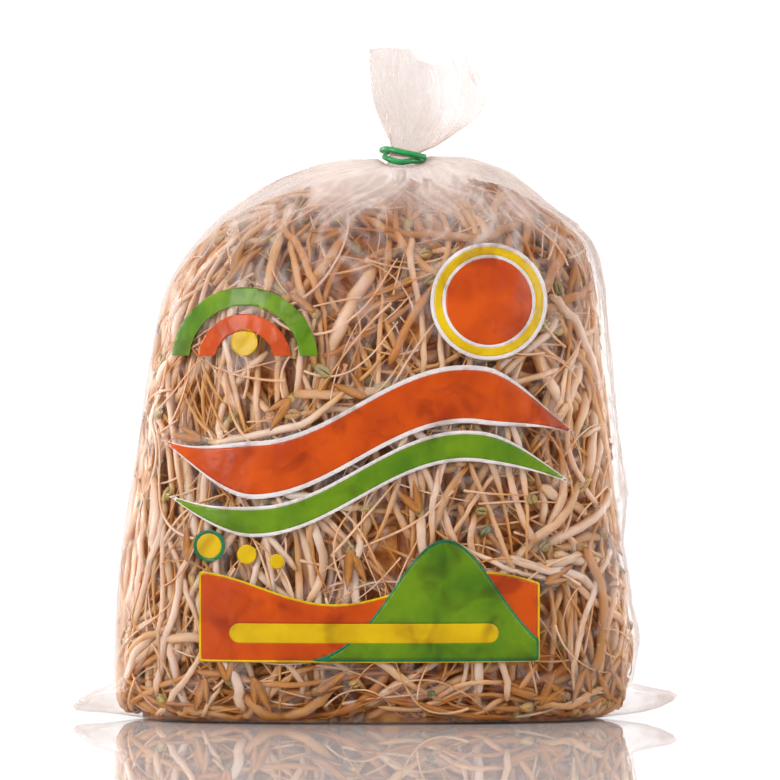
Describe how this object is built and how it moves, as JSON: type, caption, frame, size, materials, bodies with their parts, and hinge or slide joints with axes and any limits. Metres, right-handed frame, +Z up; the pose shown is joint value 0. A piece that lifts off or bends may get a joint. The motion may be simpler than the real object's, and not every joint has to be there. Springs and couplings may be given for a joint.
{
  "type": "bag of mung bean sprouts",
  "caption": "Clear film bag filled with a tangle of white mung bean sprouts, gathered at the neck and closed with a green tie; it stands on its flat bottom.",
  "frame": {"origin": "on the surface that the bag stands on, under the middle of its bounding box", "axes": "+Z up, towards the gathered neck; the printed front faces -Y; +X is to the right of a viewer who looks at the front"},
  "size_m": [0.2272, 0.1078, 0.2525],
  "materials": {
    "sprout": "moist, waxy fresh plant tissue: off-white stems with tan roots and yellow-brown seed leaves",
    "film": "clear glossy polythene film, printed on the front with plain orange, green and yellow shapes",
    "tie": "glossy green plastic cover over a thin wire"
  },
  "bodies": {
    "root": {"sprouts": "sprout", "bag_film": "film", "neck_tie": "tie"}
  },
  "joints": []
}
